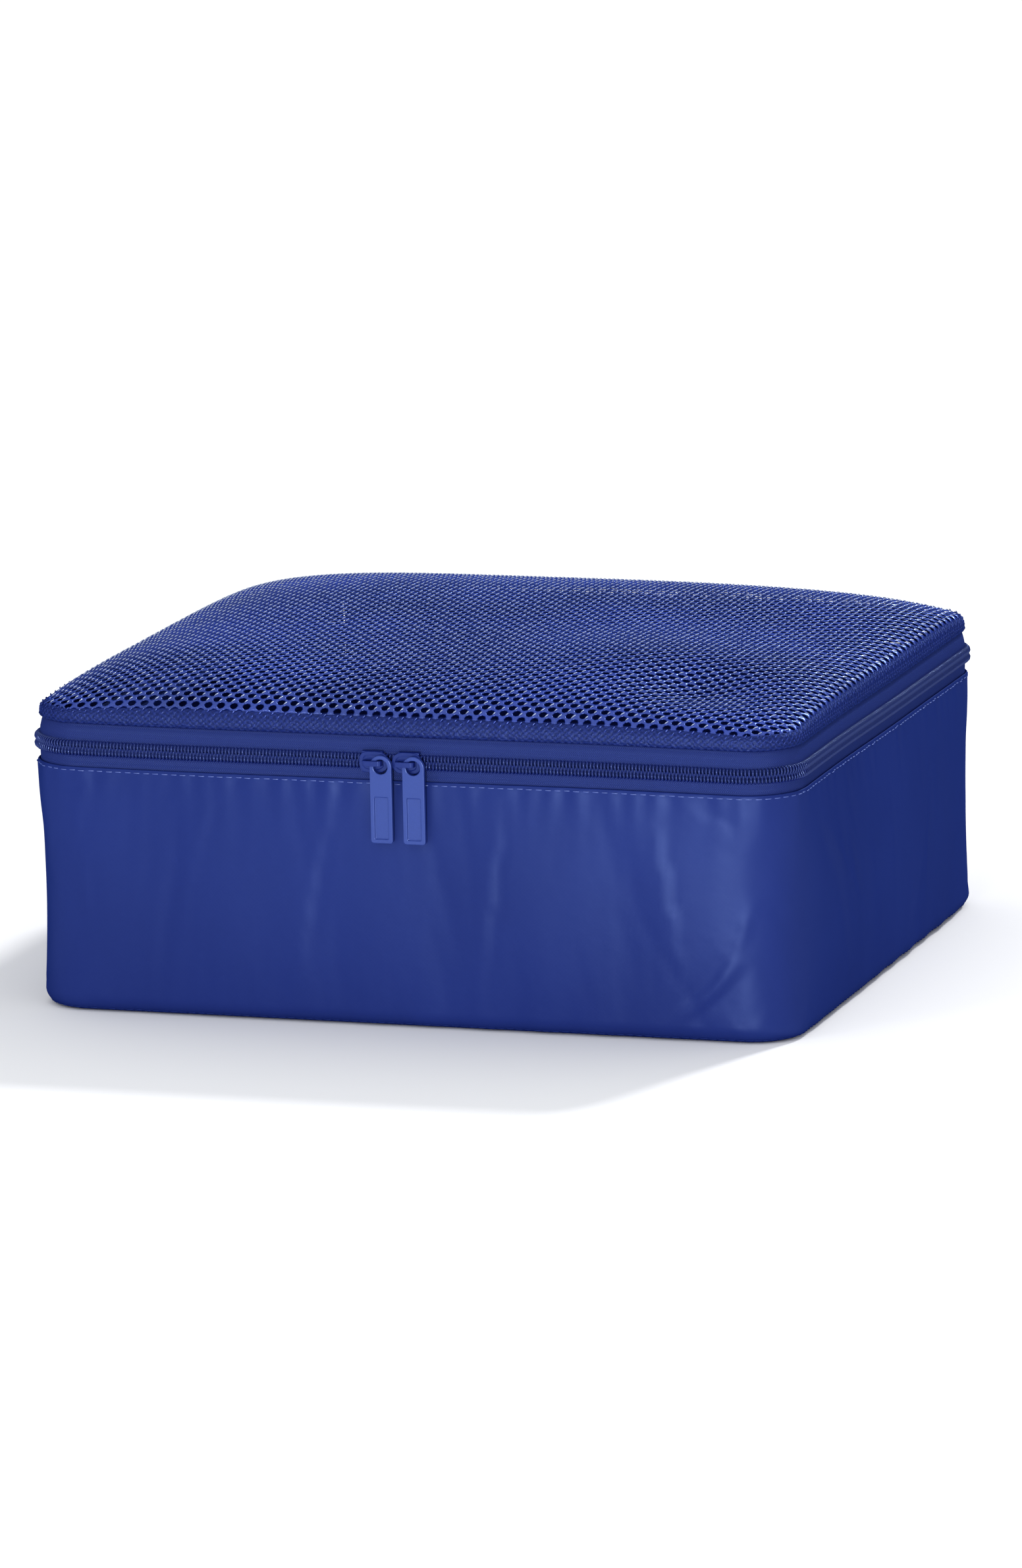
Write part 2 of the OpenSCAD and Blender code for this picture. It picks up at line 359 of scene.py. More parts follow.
def filled_out(u, z):
    """The filled wall between the points of the cloth's grid."""
    across = np.mod(u, AROUND) / AROUND * len(FILL_U)
    up = np.clip(z / WALL_TOP, 0, 1) * (len(FILL_Z) - 1)
    i, j = np.floor(across).astype(int), np.floor(up).astype(int)

    def column(step):
        at = (i + step) % len(FILL_U)
        near = [FILL[at, np.clip(j + k, 0, len(FILL_Z) - 1)] for k in (-1, 0, 1, 2)]
        return cubic(*near, up - j)

    return cubic(column(-1), column(0), column(1), column(2), across - i)


BOTTOM_R = 7 * MM
PUCKER = 0.42 * MM
TUCK = 0.30 * MM
WALL_INSET = 0.2 * MM
TOP_BAND = 7 * MM


def wall_out(u, z):
    """How far the finished wall stands out: the filled cloth, its puckered seams and turned-in foot."""
    out = filled_out(u, z)
    below_top = WALL_TOP - z
    pucker = waves(u, 0.017, 0.008, 5, 8) * np.exp(-below_top / (9 * MM))
    pucker = pucker * smooth(below_top / (2.0 * MM))
    tuck = waves(u, 0.03, 0.014, 4, 9) * np.exp(-z / (12 * MM))
    under = np.clip(1 - z / BOTTOM_R, 0, 1)
    turned = BOTTOM_R * (1 - np.sqrt(1 - under ** 2 * 0.98))
    free = smooth((below_top - TOP_BAND) / (25 * MM))
    out = np.maximum(out, 0) + np.minimum(out, 0) * free
    return out + PUCKER * pucker + TUCK * tuck - turned - WALL_INSET


# Each lump under the mesh, in mm: x, y, size and height.
LUMPS = [
    (-96, 40, 60, 2.2),
    (30, 70, 52, 1.6),
    (126, 20, 44, -2.4),
    (118, -104, 20, -7.0),
    (-20, -84, 46, -1.2),
    (70, -60, 30, 1.8),
    (-118, -92, 30, 1.2),
]
CROWN_EDGE = 4.5
CROWN_CURVE = 0.56
RIM_Z = HEM_Z + 2.5 * MM
RISE = CROWN_Z - RIM_Z - 3.5 * MM
DROOP = 0.8 * MM


def lid_height(x, y):
    """Height of the crowned mesh over the point x, y."""
    across = np.clip(np.abs(x) / HALF_X, 0, 1)
    along = np.clip(np.abs(y) / HALF_Y, 0, 1)
    crown = ((1 - across ** CROWN_EDGE) * (1 - along ** CROWN_EDGE)) ** CROWN_CURVE
    lumps = 0
    for cx, cy, size, height in np.array(LUMPS) * MM:
        lumps = lumps + height * np.exp(-((x - cx) ** 2 + (y - cy) ** 2) / (2 * size ** 2))
    return RIM_Z + RISE * crown + lumps * crown - DROOP * (across * along) ** 8


def lid_point(x, y, lift=0.0):
    """Points of the crowned lid, lifted along its normal."""
    step = 0.5 * MM
    z = lid_height(x, y)
    slope_x = (lid_height(x + step, y) - lid_height(x - step, y)) / (2 * step)
    slope_y = (lid_height(x, y + step) - lid_height(x, y - step)) / (2 * step)
    length = np.sqrt(1 + slope_x ** 2 + slope_y ** 2)
    return np.stack([x - lift * slope_x / length, y - lift * slope_y / length, z + lift / length], -1)


# ---- materials ----


YARN_TINT = (0.36, 0.52, 1.0)
GRAIN_TINT = (0.34, 0.48, 1.0)
YARN_EDGE = (0.20, 0.30, 0.6)


class Graph:
    """The node tree of a material or world, and the ways of adding to it."""

    def __init__(self, owner):
        owner.use_nodes = True
        self.owner = owner
        self.nodes, self.links = owner.node_tree.nodes, owner.node_tree.links

    def add(self, kind, inputs):
        """A new node; each of inputs is a plain value or another node's socket."""
        node = self.nodes.new("ShaderNode" + kind)
        self.fill(node, inputs)
        return node

    def fill(self, node, inputs):
        for key, value in inputs.items():
            if isinstance(value, bpy.types.NodeSocket):
                self.links.new(value, node.inputs[key])
            else:
                node.inputs[key].default_value = value

    def cloth(self):
        """Along and up the cloth, in metres, from the piece's own map."""
        node = self.add("UVMap", {})
        node.uv_map = "cloth"
        return node.outputs["UV"]

    def place(self):
        return self.add("TexCoord", {}).outputs["Object"]

    def split(self, vector):
        return self.add("SeparateXYZ", {0: vector}).outputs[:]

    def noise(self, vector, scale, detail):
        inputs = {"Vector": vector, "Scale": scale, "Detail": detail}
        return self.add("TexNoise", inputs).outputs["Fac"]

    def ramp(self, source, low, high, at=(0.3, 0.7)):
        node = self.add("ValToRGB", {"Fac": source})
        for element, position, color in zip(node.color_ramp.elements, at, (low, high)):
            element.position = position
            element.color = (*color, 1)
        return node.outputs["Color"]

    def calc(self, kind, *values):
        node = self.add("Math", dict(enumerate(values)))
        node.operation = kind
        return node.outputs[0]

    def sine(self, distance, wavelength):
        return self.calc("SINE", self.calc("MULTIPLY", distance, 2 * math.pi / wavelength))

    def bump(self, height, strength, distance, normal=None):
        inputs = {"Strength": strength, "Distance": distance, "Height": height}
        if normal is not None:
            inputs["Normal"] = normal
        return self.add("Bump", inputs).outputs["Normal"]

    def surface(self, tone, roughness, normal, share, sheen_roughness, tint=YARN_TINT, edge=YARN_EDGE):
        """A dyed matt body with a share of the yarn's own reflection, tinted even at the edges."""
        body = self.nodes["Principled BSDF"]
        self.fill(body, {
            "Base Color": tone, "Roughness": roughness, "Specular IOR Level": 0, "Normal": normal})
        sheen = self.add("BsdfPrincipled", {
            "Base Color": (*tint, 1), "Metallic": 1, "Roughness": sheen_roughness,
            "Specular Tint": (*edge, 1), "Normal": normal})
        mix = self.add("MixShader", {0: share, 1: body.outputs[0], 2: sheen.outputs[0]})
        self.links.new(mix.outputs[0], self.nodes["Material Output"].inputs["Surface"])
        return self.owner


def material_graph(name):
    return Graph(bpy.data.materials.new(name))


def nylon_material():
    """Dyed taffeta: plain weave, a soft blue lustre and the small ripples of handled cloth."""
    graph = material_graph("nylon_taffeta")
    cloth = graph.cloth()
    tone = graph.ramp(graph.noise(cloth, 9, 4), (0.0065, 0.0150, 0.118), (0.0085, 0.0190, 0.140))
    ripple = graph.bump(graph.noise(cloth, 140, 3), 0.30, 0.35 * MM)
    threads = [graph.sine(axis, 1 / 1700) for axis in graph.split(cloth)[:2]]
    weave = graph.bump(graph.calc("MULTIPLY", *threads), 0.25, 0.05 * MM, ripple)
    return graph.surface(tone, 0.60, weave, 0.032, 0.40)


def tape_material():
    """Zip tape: narrow herringbone ribs with the cross threads showing between them, with painted shade
    in the grooves between the ribs.
    """
    graph = material_graph("zip_tape_twill")
    along, up, _ = graph.split(graph.cloth())
    slanted = graph.calc("ADD", along, graph.calc("PINGPONG", up, 1.3 * MM))
    ribs = graph.sine(slanted, 0.85 * MM)
    cross = graph.calc("MULTIPLY", graph.sine(up, 0.5 * MM), 0.45)
    height = graph.calc("MULTIPLY_ADD", graph.calc("ADD", ribs, cross), 0.3, 0.5)
    # Painted shade: the colour follows the relief, darker in the grooves and lighter on the rib tops.
    tone = graph.ramp(height, (0.005, 0.010, 0.08), (0.018, 0.032, 0.19), (0.15, 0.95))
    return graph.surface(tone, 0.60, graph.bump(height, 0.9, 0.22 * MM), 0.035, 0.42)


def mesh_material():
    """Warp-knit polyester: bright filament yarn, randomly mottled, with a painted highlight where its
    raised strands catch the light.
    """
    graph = material_graph("mesh_knit")
    place = graph.place()
    strands = graph.noise(place, 1500, 2)
    mottle_and_painted_highlight = graph.calc("MULTIPLY", strands, graph.noise(place, 18, 2))
    # Painted highlight: the colour is lighter where the strands' relief rises, under a large random
    # mottle.
    tone = graph.ramp(mottle_and_painted_highlight, (0.006, 0.014, 0.125), (0.015, 0.034, 0.28), (0.12, 0.42))
    normal = graph.bump(strands, 0.45, 0.12 * MM)
    return graph.surface(tone, 0.50, normal, 0.13, 0.24, (0.34, 0.47, 1.0), (0.10, 0.17, 0.40))


def hem_material():
    """The mesh doubled over: its holes closed up into small dimples between the yarns, with painted
    shade in the dimples.
    """
    graph = material_graph("hem_knit")
    cloth = graph.cloth()
    fuzz = graph.noise(cloth, 1100, 3)
    along, up, _ = graph.split(cloth)
    wander = graph.calc("MULTIPLY", graph.noise(cloth, 220, 2), 2.4 * MM)
    rows = graph.sine(graph.calc("ADD", along, wander), 2.85 * MM)
    columns = graph.sine(graph.calc("ADD", up, wander), 2.4 * MM)
    height = graph.calc("MULTIPLY_ADD", graph.calc("MULTIPLY", rows, columns), 0.28, fuzz)
    # Painted shade: the colour follows the relief and its random fuzz, darker in the dimples and lighter
    # on the raised yarns.
    tone = graph.ramp(height, (0.003, 0.007, 0.065), (0.010, 0.020, 0.145), (0.28, 0.78))
    return graph.surface(tone, 0.55, graph.bump(height, 0.9, 0.45 * MM), 0.036, 0.36, (0.36, 0.50, 1.0))


def grained_material(name, color, grain, depth, spread, roughness, share, tint=GRAIN_TINT):
    """A small part's material. Its colour varies by spread, over grain patches to the metre with depth
    as their relief; share, roughness and tint are those of its reflection."""
    graph = material_graph(name)
    noise = graph.noise(graph.place(), grain, 3)
    tone = graph.ramp(noise, *(tuple(c * (1 + way * spread) for c in color) for way in (-1, 1)))
    normal = graph.bump(noise, 0.35, depth)
    return graph.surface(tone, 0.6, normal, share, roughness, tint, (0.18, 0.28, 0.6))


def floor_material():
    graph = material_graph("floor_paper")
    grey = {"Base Color": (0.88, 0.88, 0.88, 1), "Roughness": 1, "Specular IOR Level": 0}
    graph.fill(graph.nodes["Principled BSDF"], grey)
    return graph.owner


NYLON = nylon_material()
TAPE = tape_material()
MESH = mesh_material()
HEM = hem_material()
BINDING = grained_material("binding_tape", (0.008, 0.018, 0.125), 900, 0.10 * MM, 0.15, 0.60, 0.02)
THREAD = grained_material("stitch_thread", (0.040, 0.070, 0.30), 2500, 0.05 * MM, 0.15, 0.32, 0.12,
                          (0.6, 0.72, 1.0))
GLINT = grained_material("bright_yarn", (0.030, 0.055, 0.30), 2500, 0.05 * MM, 0.15, 0.26, 0.52,
                         (0.78, 0.87, 1.0))
COIL = grained_material("zip_coil", (0.006, 0.012, 0.100), 1500, 0.01 * MM, 0.12, 0.12, 0.08,
                        (0.40, 0.54, 1.0))
ENAMEL = grained_material("slider_enamel", (0.008, 0.017, 0.130), 2200, 0.008 * MM, 0.05, 0.26, 0.05)
PULL = grained_material("pull_enamel", (0.023, 0.044, 0.225), 2600, 0.012 * MM, 0.05, 0.24, 0.06,
                        (0.45, 0.60, 1.0))


def dress(piece, material, body, slot, *nodes):
    """Gives a finished piece its material, the body it rides on and the CAD nodes it stands for."""
    piece.data.materials.clear()
    piece.data.materials.append(material)
    if body:
        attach(piece, body)
    if nodes:
        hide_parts(*nodes)
    return piece


# ---- the nylon case ----

ZIP_START = HINGE_HALF
ZIP_END = AROUND - ZIP_START
ZIP_ENDS = (("left", ZIP_START), ("right", ZIP_END))
FOOT = 9 * MM


def foot_heights(count):
    """Heights over the turned-in foot, closest together where it rests."""
    return np.linspace(0, 1, count) ** 1.5 * FOOT


def wall_section(u, thick):
    """Outer face from the base up, over the folded top edge, and back down the inside."""
    low = foot_heights(10)
    mid = np.linspace(FOOT, WALL_TOP - 14 * MM, 30)[1:-1]
    top = np.linspace(WALL_TOP - 14 * MM, WALL_TOP - 0.4 * MM, 12)
    uu, zz = np.meshgrid(u, np.concatenate([low, mid, top]), indexing="ij")
    out = wall_out(uu, zz)
    height = zz + zip_sway(uu) * smooth((zz - 0.6 * WALL_TOP) / (0.4 * WALL_TOP))
    out_edge, top_edge = out[:, -1:], height[:, -1:]
    outs = [out, out_edge - 0.35 * MM, out_edge - 0.9 * MM, out[:, ::-1] - thick]
    heights = [height, top_edge + 0.35 * MM, top_edge + 0.3 * MM, height[:, ::-1]]
    outs, heights = np.concatenate(outs, 1), np.concatenate(heights, 1)
    heights[:, -len(low):] = np.maximum(heights[:, -len(low):], thick)
    return outs, heights


def make_wall():
    u = stations(ZIP_START, ZIP_END, 2.2 * MM)
    out, z = wall_section(u, CLOTH_T)
    return dress(sweep("side_wall_nylon", u, out, z), NYLON, "shell", "nylon", "side_wall")


def make_base():
    """The floor panel: a flat upper and lower face, each in rings drawn in to the middle."""
    edge = path_point(loop_stations(6 * MM), -BOTTOM_R * 0.80 - 0.4 * MM, 0)
    shares = [1, 0.9, 0.75, 0.6, 0.45, 0.3, 0.15]
    face = np.concatenate([edge * share for share in shares] + [np.zeros((1, 3))])
    verts = np.concatenate([face, face + [0, 0, CLOTH_T]])
    count, size = len(edge), len(face)
    last = size - 1 - count
    around = [(i, (i + 1) % count) for i in range(count)]
    lower = grid_faces(len(shares), count, False, True).tolist()
    lower += [[last + i, last + n, size - 1] for i, n in around]
    upper = [[n + size for n in corners][::-1] for corners in lower]
    rim = [[i, n, n + size, i + size] for i, n in around]
    faces = lower + upper + rim
    uvs = [verts[n][:2] for corners in faces for n in corners]
    dress(solid("base_panel_nylon", verts, faces, uvs), NYLON, "shell", "nylon", "base_panel")


def make_hinge_panel():
    """One piece of nylon from the base seam up to the lid's hem; above the zip it leans inward."""
    u = stations(ZIP_END + 0.3 * MM, AROUND + ZIP_START - 0.3 * MM, 3 * MM)
    low = foot_heights(8)
    mid = np.linspace(FOOT, WALL_TOP, 26)[1:]
    top = np.linspace(WALL_TOP, HEM_Z + 1.5 * MM, 20)[1:]
    uu, zz = np.meshgrid(u, np.concatenate([low, mid, top]), indexing="ij")
    out = wall_out(uu, np.minimum(zz, WALL_TOP - 3 * MM)) * np.clip((ZIP_Z - zz) / (12 * MM), 0, 1)
    out = np.where(zz < WALL_TOP - 12 * MM, wall_out(uu, zz), out)
    out = np.maximum(out, np.where(zz > 20 * MM, -0.2 * MM, -np.inf))
    lean_from = ZIP_Z + 3 * MM
    out = np.where(zz > lean_from, (lean_from - zz) * 0.25, out)
    outs = np.concatenate([out, out[:, ::-1] - CLOTH_T], 1)
    heights = np.concatenate([zz, zz[:, ::-1]], 1)
    heights[:, -len(low):] = np.maximum(heights[:, -len(low):], CLOTH_T)
    piece = sweep("hinge_panel_nylon", u, outs, heights)
    dress(piece, NYLON, None, "nylon", "hinge_wall", "hinge_flap")
    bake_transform(piece)


def make_band(name, u, points, thick, material, body, slot, node, closed=False, sway=1.0):
    """A flat strip of cloth along the path, on an open line of (out, z) points."""
    out, z = strip_section(points, thick)
    z = z + sway * zip_sway(u)[:, None]
    return dress(sweep(name, u, out, z, closed), material, body, slot, node)


def in_mm(points, out=0.0, z=0.0):
    """The (out, z) points of a section that are given in mm from one place on it."""
    return np.array(points) * MM + (out, z)


TAPE_OUT = -1.3 * MM
TAPE_T = 0.5 * MM


def make_zip_tapes():
    u = stations(ZIP_START, ZIP_END, 2.5 * MM)
    by_coil = TAPE_OUT + 0.1 * MM
    lower = [(TAPE_OUT, WALL_TOP - 8 * MM), (TAPE_OUT, WALL_TOP), (by_coil, COIL_BASE),
             (by_coil, ZIP_Z - 0.15 * MM)]
    make_band("lower_zip_tape", u, lower, TAPE_T, TAPE, "shell", "zip_tape", "lower_zipper_tape")
    upper = [(by_coil, ZIP_Z + 0.15 * MM), (by_coil, COIL_TOP),
             *in_mm([(-0.1, 2.5), (-0.7, 5)], TAPE_OUT, COIL_TOP),
             *in_mm([(-1.6, 0.6), (-3.0, 3.5)], TAPE_OUT, HEM_Z)]
    make_band("upper_zip_tape", u, upper, TAPE_T, TAPE, "lid", "zip_tape", "upper_zipper_tape")


def copies_along(u, out, z, verts, faces):
    """Copies of one small closed mesh, in (run, out, up) axes, set along the path."""
    here = path_point(u, out, z)
    run = path_point(u + 0.2 * MM, out, z) - here
    run /= np.linalg.norm(run, axis=1, keepdims=True)
    turn = np.interp(np.mod(u, AROUND), STEPS, TURN)
    outward = np.stack([np.cos(turn), np.sin(turn), np.zeros_like(turn)], -1)
    up = np.broadcast_to([0.0, 0.0, 1.0], run.shape)
    points = here[:, None] + np.asarray(verts) @ np.stack([run, outward, up], 1)
    return points.reshape(-1, 3), repeat_faces(faces, len(verts), len(u))


def repeat_faces(faces, count, copies):
    """The faces of several copies of a mesh of count vertices."""
    return [[n + k * count for n in face] for k in range(copies) for face in faces]


def repeat_along(name, u, out, z, verts, faces):
    return make_piece(name, *copies_along(u, out, z, verts, faces))


def rod(centres, radii, across, sides=6):
    """A closed rod along centres, with a radius at each; across is any direction square to all of it."""
    centres = np.asarray(centres, float)
    radii = np.asarray(radii)[:, None, None]
    run = np.gradient(centres, axis=0)
    run /= np.linalg.norm(run, axis=1, keepdims=True)
    across = np.broadcast_to(np.asarray(across, float), run.shape)
    other = np.cross(run, across)
    angle = (np.arange(sides) * 2 * math.pi / sides)[None, :, None]
    rings = centres[:, None] + radii * (np.cos(angle) * across[:, None] + np.sin(angle) * other[:, None])
    faces = grid_faces(len(centres), sides, False, True)[:, ::-1].tolist()
    faces.append(list(range(sides)))
    faces.append(list(range((len(centres) - 1) * sides, len(centres) * sides))[::-1])
    return rings.reshape(-1, 3), faces


TOOTH_PITCH = 1.5 * MM
COIL_COVERED = 7 * MM


def coil_tooth(side):
    """One turn of the coil: from the sewn edge over the ridge to the head at the middle."""
    line = [(0.10, 0.2, 2.95), (0.08, 1.3, 2.85), (0.02, 2.0, 2.15), (-0.02, 2.15, 1.45),
            (-0.03, 1.75, 0.75), (-0.02, 1.35, 0.10), (0.0, 1.25, -0.35)]
    radii = [0.42, 0.44, 0.44, 0.44, 0.46, 0.60, 0.40]
    verts, faces = rod(np.array(line) * (MM, MM, side * MM), np.array(radii) * MM, (1, 0, 0))
    return verts, faces if side < 0 else [face[::-1] for face in faces]


def make_coils():
    u = np.arange(ZIP_START + COIL_COVERED, ZIP_END - COIL_COVERED, TOOTH_PITCH)
    for name, side, body in (("lower", -1, "shell"), ("upper", 1, "lid")):
        at = u + max(side, 0) * 0.5 * TOOTH_PITCH
        piece = repeat_along(name + "_zip_coil", at, TAPE_OUT, ZIP_Z + zip_sway(at), *coil_tooth(side))
        dress(piece, COIL, body, "coil", name + "_zipper_coil")


def stitch(length, radius):
    """A short thread stitch lying on the cloth, its ends dipping in."""
    half = length / 2
    line = [(-half, -0.5 * radius, 0), (-0.8 * half, 0.35 * radius, 0), (0, 0.6 * radius, 0),
            (0.8 * half, 0.35 * radius, 0), (half, -0.5 * radius, 0)]
    return rod(line, [0.6 * radius, radius, radius * 1.05, radius, 0.6 * radius], (0, 0, 1))


def make_stitches(name, start, end, pitch, length, out, z, material, body, node):
    u = np.arange(start, end, (end - start) / round((end - start) / pitch))
    random = np.random.default_rng(len(name))
    u = u + random.uniform(-0.12, 0.12, len(u)) * MM
    piece = repeat_along(name, u, out(u), z(u), *stitch(length, 0.23 * MM))
    return dress(piece, material, body, "thread", node)


def make_all_stitches():
    high, low = WALL_TOP - 1.5 * MM, 1.4 * MM
    make_stitches("wall_edge_stitches", ZIP_START, ZIP_END, 4.1 * MM, 2.5 * MM,
                  lambda u: wall_out(u, high) + 0.02 * MM, lambda u: high + zip_sway(u),
                  THREAD, "shell", "wall_topstitch")
    make_stitches("base_edge_stitches", 0, AROUND, 4.0 * MM, 2.9 * MM,
                  lambda u: wall_out(u, low), lambda u: low + 0 * u, BINDING, "shell", "base_topstitch")


HEM_T = 0.9 * MM
HEM_INSETS = np.array([2.2, 1.35, 1.2, 1.3, 1.6, 2.2, 3.2, 4.4, 6.0]) * MM
HEM_RISE = np.array([0.0, 0.5, 1.7, 3.2, 4.5]) * MM
HEM_LIFT = np.array([0.30, 0.15, -0.50, -1.40]) * MM


def hem_line(u):
    """The hem's outer line for each u: out and height, from the seam groove up and in under the mesh."""
    out = np.broadcast_to(-HEM_INSETS, (len(u), len(HEM_INSETS)))
    points = path_point(u[:, None], out, 0)
    top = lid_height(points[..., 0], points[..., 1])
    count = len(HEM_RISE)
    lower = HEM_Z + HEM_RISE[None, :] + zip_sway(u)[:, None]
    return out, np.concatenate([lower, top[:, count:] + HEM_LIFT], 1)


def on_hem(u, step):
    """Places on the hem's face, at a step between the points of its outer line, for each u."""
    outs, heights = hem_line(u)
    steps = np.arange(outs.shape[1])
    out = np.array([np.interp(step, steps, row) for row in outs])
    return out, np.array([np.interp(step, steps, row) for row in heights])


def make_hem():
    u = loop_stations(2.0 * MM)
    out, z = hem_line(u)
    out = out + 0.10 * MM * waves(u, 0.012, 0.006, 5, 21)[:, None]
    inward = HEM_T * np.array([0.4, 0.8, 1, 1, 1, 1, 1, 0.8, 0.3])
    downward = HEM_T * np.array([1, 1, 1, 0.8, 0.4, 0, 0, 0, 0])
    outs = np.concatenate([out, out[:, ::-1] - inward], 1)
    heights = np.concatenate([z, z[:, ::-1] - downward], 1)
    dress(sweep("lid_hem_knit", u, outs, heights, True), HEM, "lid", "mesh", "lid_hem")
    at = loop_stations(4.0 * MM)
    out, z = on_hem(at, 1.6)
    piece = repeat_along("hem_stitches", at, out + 0.02 * MM, z, *stitch(2.6 * MM, 0.22 * MM))
    dress(piece, BINDING, "lid", "thread", "lid_topstitch")
    make_hem_loops()


# Each row of loops: its step on the hem's line, pitch, length and radius in mm, shift in pitches.
HEM_LOOP_ROWS = [(5.6, 5.7, 2.0, 0.34, 0.0), (4.7, 5.7, 1.4, 0.27, 0.5), (3.7, 2.85, 0.9, 0.20, 0.0),
                 (2.8, 2.85, 0.7, 0.18, 0.5)]


def make_hem_loops():
    """The yarns of the closed-up holes that stand out of the hem, leaning right as they rise."""
    random = np.random.default_rng(17)
    points, quads = np.empty((0, 3)), []
    for step, pitch, length, radius, shift in HEM_LOOP_ROWS:
        half, thick = length / 2 * MM, radius * MM
        lean = np.array([(-0.6, -0.3, -0.8), (-0.35, 0.35, -0.4), (0.35, 0.35, 0.4), (0.6, -0.3, 0.8)])
        loop = rod(lean * (half, thick, half), np.array([0.5, 1, 1, 0.5]) * thick, (0.8, 0, -0.6), 5)
        at = loop_stations(pitch * MM) + shift * pitch * MM
        at = at + random.uniform(-0.25, 0.25, len(at)) * MM
        out, z = on_hem(at, step)
        z = z + random.uniform(-0.2, 0.2, len(at)) * MM
        copies, faces = copies_along(at, out, z, *loop)
        quads += [[n + len(points) for n in face] for face in faces]
        points = np.concatenate([points, copies])
    dress(make_piece("hem_knit_loops", points, quads), MESH, "lid", "mesh")


HOLE_ACROSS = 5.7 * MM
HOLE_ROW = 3.3 * MM
COLUMNS = int(HALF_X / HOLE_ACROSS) + 1
ROWS = int(HALF_Y / HOLE_ROW) + 1
HOLE_R = 1.56 * MM
HOLE_HALF_X, HOLE_HALF_Y = 1.04 * HOLE_R, 0.98 * HOLE_R
HIGH_KNOT, LOW_KNOT, UNDER_KNOT = 0.50 * MM, 0.38 * MM, -0.28 * MM
SHOULDER = 1.24
HEM_COVER = 4.6 * MM


def warp(x, y):
    """The slight wander of the knit's rows."""
    dx = 0.7 * MM * np.sin(9 * x + 14 * y) + 0.5 * MM * np.sin(31 * y - 17 * x + 1.0)
    dy = 0.9 * MM * np.sin(11 * x - 6 * y + 2.0) + 0.5 * MM * np.sin(27 * x + 12 * y)
    return x + dx, y + dy


CELL_RING = [(2, 0), (1, 1), (0, 2), (-1, 1), (-2, 0), (-1, -1), (0, -2), (1, -1)]


def make_lid_mesh():
    """The knitted panel: rhombic cells, each round a hole, thicker between the holes."""
    step_x, step_y = HOLE_ACROSS / 4, HOLE_ROW / 2
    random = np.random.default_rng(5)
    knots = {}
    verts, lifts, faces, edges = [], [], [], set()

    def knot(i, j):
        """The upper of a pair of points between the holes; the lower follows it."""
        if (i, j) not in knots:
            knots[i, j] = len(verts)
            verts.extend([(i * step_x, j * step_y)] * 2)
            lifts.extend([HIGH_KNOT if i % 2 == 0 and j % 2 == 0 else LOW_KNOT, UNDER_KNOT])
        return knots[i, j]

    for row in range(-ROWS, ROWS + 1):
        for column in range(-COLUMNS, COLUMNS + 1):
            i0, j0 = 4 * column + 2 * (row % 2), 2 * row
            cx, cy = i0 * step_x, j0 * step_y
            if outset_of(cx, cy) > -1.0 * MM:
                continue
            hole = len(verts)
            jitter = random.uniform(-0.10, 0.10, 2) * MM
            for k in range(8):
                across = HOLE_HALF_X * math.cos(k * math.pi / 4)
                along = HOLE_HALF_Y * math.sin(k * math.pi / 4)
                for grow, lift in ((1.0, -0.05), (SHOULDER, 0.24)):
                    verts.append((cx + jitter[0] + grow * across, cy + jitter[1] + grow * along))
                    lifts.append(lift * MM)
            ring = [knot(i0 + a, j0 + b) for a, b in CELL_RING]
            for k in range(8):
                n = (k + 1) % 8
                rim, next_rim = hole + 2 * k, hole + 2 * n
                faces.append([rim + 1, ring[k], ring[n], next_rim + 1])
                faces.append([rim, rim + 1, next_rim + 1, next_rim])
                faces.append([next_rim, ring[n] + 1, ring[k] + 1, rim])
                edges.add((ring[k], ring[n]))
    faces += [[b, a, a + 1, b + 1] for a, b in sorted(edges) if (b, a) not in edges]
    x, y = tuck_in(*warp(*np.array(verts).T))
    sunk = 1.8 * MM * smooth((outset_of(x, y) + HEM_COVER) / (3.0 * MM))
    points = lid_point(x, y, np.array(lifts) - sunk)
    dress(make_piece("lid_mesh_knit", points, faces), MESH, "lid", "mesh", "lid_mesh")


GLINT_LINE = [(-0.62, -0.62, 0.02), (0.0, -0.05, 0.42), (0.62, 0.62, 0.60)]
GLINT_RADII = [0.18, 0.36, 0.16]


def make_mesh_glints():
    """The one yarn at each hole's lower right that lies free of the knit and catches the light."""
    random = np.random.default_rng(29)
    row, column = np.mgrid[-ROWS:ROWS + 1, -COLUMNS:COLUMNS + 1]
    x = (column + 0.5 * (row % 2)) * HOLE_ACROSS + 0.33 * HOLE_ACROSS
    y = (row - 0.24) * HOLE_ROW
    jitter = random.uniform(-0.18, 0.18, (2,) + x.shape) * MM
    length = random.uniform(0.75, 1.25, x.shape)
    kept = outset_of(x, y) < -HEM_COVER
    x, y = warp((x + jitter[0])[kept], (y + jitter[1])[kept])
    length = length[kept][:, None]
    verts, faces = rod(np.array(GLINT_LINE) * MM, np.array(GLINT_RADII) * MM, (0.70, -0.71, 0), 4)
    at_x = x[:, None] + verts[:, 0] * length
    at_y = y[:, None] + verts[:, 1] * length
    points = lid_point(at_x.ravel(), at_y.ravel(), np.tile(verts[:, 2] + 0.05 * MM, len(x)))
    yarns = make_piece("lid_mesh_bright_yarns", points, repeat_faces(faces, len(verts), len(x)))
    dress(yarns, GLINT, "lid", "mesh")


def tuck_in(x, y):
    """Crowds what lies beyond the hem's seam in under the hem."""
    axis_x, axis_y = np.clip(x, -SIDE_A, SIDE_A), np.clip(y, -SIDE_B, SIDE_B)
    away = np.maximum(np.hypot(x - axis_x, y - axis_y), 1e-9)
    seam = CORNER_R - 1.7 * MM
    kept = np.where(away > seam, seam + 0.12 * (away - seam), away) / away
    return axis_x + (x - axis_x) * kept, axis_y + (y - axis_y) * kept


BINDING_T = 0.4 * MM


